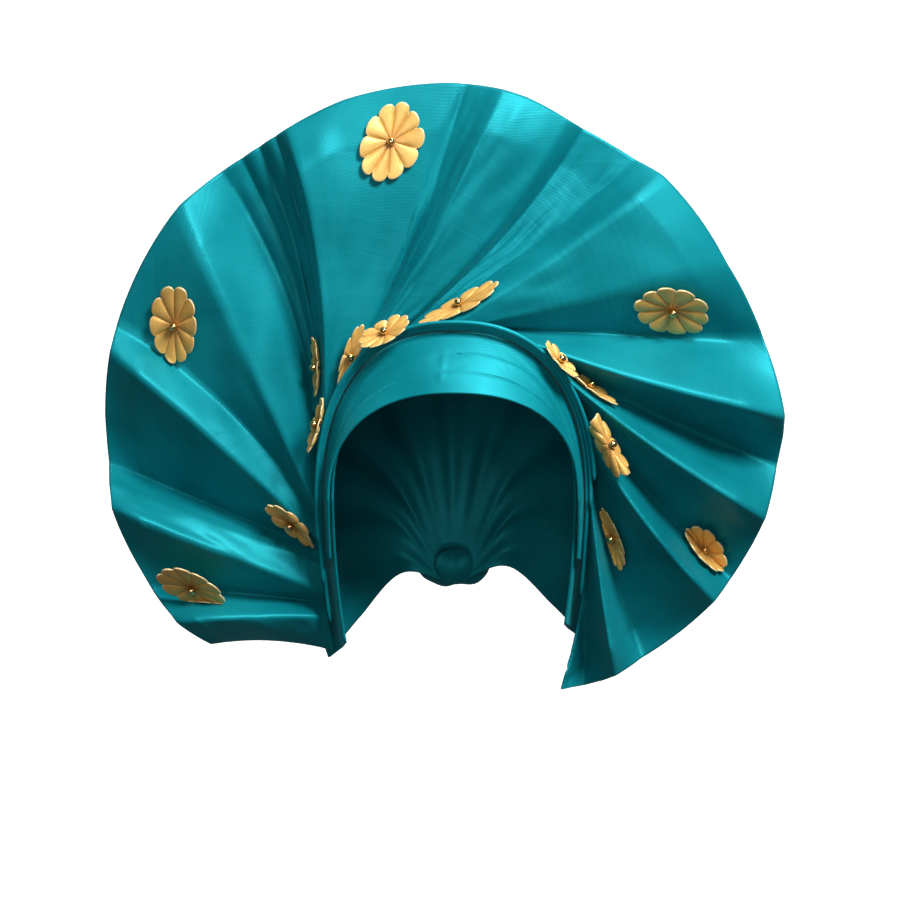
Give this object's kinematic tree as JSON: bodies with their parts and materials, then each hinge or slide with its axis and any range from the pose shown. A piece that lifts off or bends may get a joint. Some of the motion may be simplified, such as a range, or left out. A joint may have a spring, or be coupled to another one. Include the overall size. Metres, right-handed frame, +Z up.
{
  "type": "pleated head wrap",
  "caption": "Tied head wrap of stiff shot cloth: a wide pleated fan round a wrapped forehead band, a gathered hood behind, and gilt leather flowers with beads sewn to the pleats.",
  "frame": {"origin": "middle of the head opening, level with the band's lower edge over the forehead, where the head holds the wrap", "axes": "+X across the head to the picture's right, +Y from the face to the nape, +Z up"},
  "size_m": [0.3525, 0.1913, 0.3144],
  "materials": {
    "cloth": "teal shot taffeta with a fine crosswise rib and a satin sheen",
    "petals": "gilt leather with pressed ribs",
    "bead": "polished gold"
  },
  "bodies": {
    "root": {"fan": "cloth", "forehead_band": "cloth", "pleat_roll_inner": "cloth", "pleat_roll_middle": "cloth", "pleat_roll_outer": "cloth", "hood": "cloth", "nape_knot": "cloth", "flower_top": "petals", "bead_top": "bead", "flower_upper_left": "petals", "bead_upper_left": "bead", "flower_lower_left": "petals", "bead_lower_left": "bead", "flower_upper_right": "petals", "bead_upper_right": "bead", "flower_lower_right": "petals", "bead_lower_right": "bead", "flower_pleat_left_low": "petals", "bead_pleat_left_low": "bead", "flower_pleat_left_mid": "petals", "bead_pleat_left_mid": "bead", "flower_pleat_left_high": "petals", "bead_pleat_left_high": "bead", "flower_pleat_top_left": "petals", "bead_pleat_top_left": "bead", "flower_pleat_top": "petals", "bead_pleat_top": "bead", "flower_pleat_right_high": "petals", "bead_pleat_right_high": "bead", "flower_pleat_right_mid": "petals", "bead_pleat_right_mid": "bead", "flower_pleat_right_low": "petals", "bead_pleat_right_low": "bead", "flower_band_left": "petals", "bead_band_left": "bead", "flower_band_right": "petals", "bead_band_right": "bead"}
  },
  "joints": []
}
